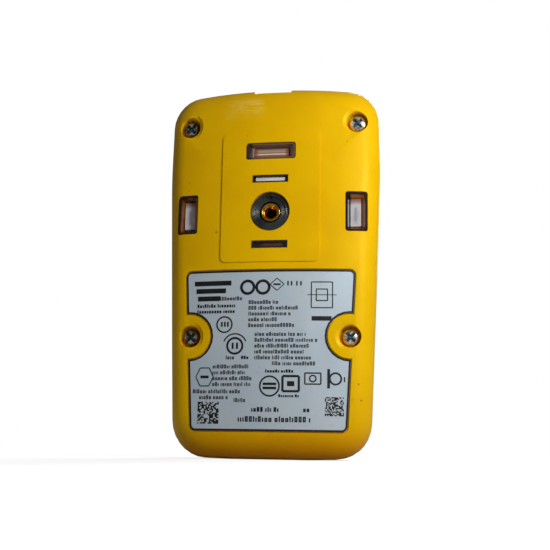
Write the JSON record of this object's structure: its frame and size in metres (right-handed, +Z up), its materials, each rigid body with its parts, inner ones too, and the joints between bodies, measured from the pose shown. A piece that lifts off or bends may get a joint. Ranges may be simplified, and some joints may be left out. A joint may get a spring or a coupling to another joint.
{
  "type": "portable gas detector",
  "caption": "Pocket single-gas detector body with rear clip pad, alarm windows, display, push button, sensor grille and vibrating alarm inside.",
  "frame": {"origin": "on the ground, at the middle of the body's width and depth", "axes": "+Z up the body's length, -Y out of the rear face with the clip pad and label, +X across the body"},
  "size_m": [0.05, 0.0274, 0.086],
  "materials": {
    "yellow": "soft-touch yellow overmould",
    "smoked": "smoked clear plastic",
    "lens": "clear red-tinted plastic",
    "white": "translucent white plastic",
    "label": "silver printed film",
    "steel": "bright zinc-plated steel",
    "brass": "turned brass",
    "rubber": "black rubber",
    "black": "black moulded plastic",
    "board": "green glass-epoxy laminate",
    "glass": "clear hard-coated pane",
    "cell": "printed sleeve on a metal can",
    "nickel": "nickel-plated",
    "felt": "white porous membrane"
  },
  "bodies": {
    "housing": {"rear_cover": "yellow", "front_cover": "yellow", "clip_boss": "smoked", "window_frame_top": "smoked", "window_frame_left": "smoked", "window_frame_right": "smoked", "front_lens_left": "lens", "front_lens_right": "lens", "light_bar": "white", "light_pipe_top": "white", "light_pipe_left": "white", "light_pipe_right": "white", "alarm_led_top": "white", "alarm_led_left": "white", "alarm_led_right": "white", "front_led_left": "white", "front_led_right": "white", "gas_sensor": "white", "backlight": "white", "rating_label": "label", "case_screw_top_left": "steel", "case_screw_top_right": "steel", "case_screw_middle_left": "steel", "case_screw_middle_right": "steel", "vibration_motor": "steel", "threaded_insert": "brass", "housing_gasket": "rubber", "sensor_gasket": "rubber", "sounder_gasket": "rubber", "contact_strip_upper": "rubber", "contact_strip_lower": "rubber", "motor_cradle": "rubber", "sensor_grille": "black", "sounder": "black", "display_frame": "black", "tact_switch": "black", "microcontroller": "black", "memory_chip": "black", "capacitor_1": "black", "capacitor_2": "black", "main_board": "board", "display_window": "glass", "display_glass": "glass", "battery_cell": "cell", "sensor_pin_1": "nickel", "sensor_pin_2": "nickel", "sensor_pin_3": "nickel", "battery_tab_left": "nickel", "battery_tab_right": "nickel", "sensor_filter": "felt"},
    "button": {"push_button": "black"},
    "plunger": {"switch_plunger": "black"},
    "rotor": {"motor_shaft": "steel", "eccentric_weight": "steel"}
  },
  "joints": [
    {"name": "button_press", "type": "slide", "parent": "housing", "child": "button", "axis": [0, -1, 0], "range_m": [0, 0.0008], "stiffness_N_per_m": 1500, "springref_m": -0.0003},
    {"name": "plunger_press", "type": "slide", "parent": "housing", "child": "plunger", "axis": [0, -1, 0], "range_m": [0, 0.0008]},
    {"name": "weight_spin", "type": "hinge", "parent": "housing", "child": "rotor", "pos_m": [-0.004, -0.0063, 0.0135], "axis": [1, 0, 0], "continuous": true}
  ],
  "couplings": [
    {"joint": "plunger_press", "follows": "button_press", "ratio": 1}
  ]
}
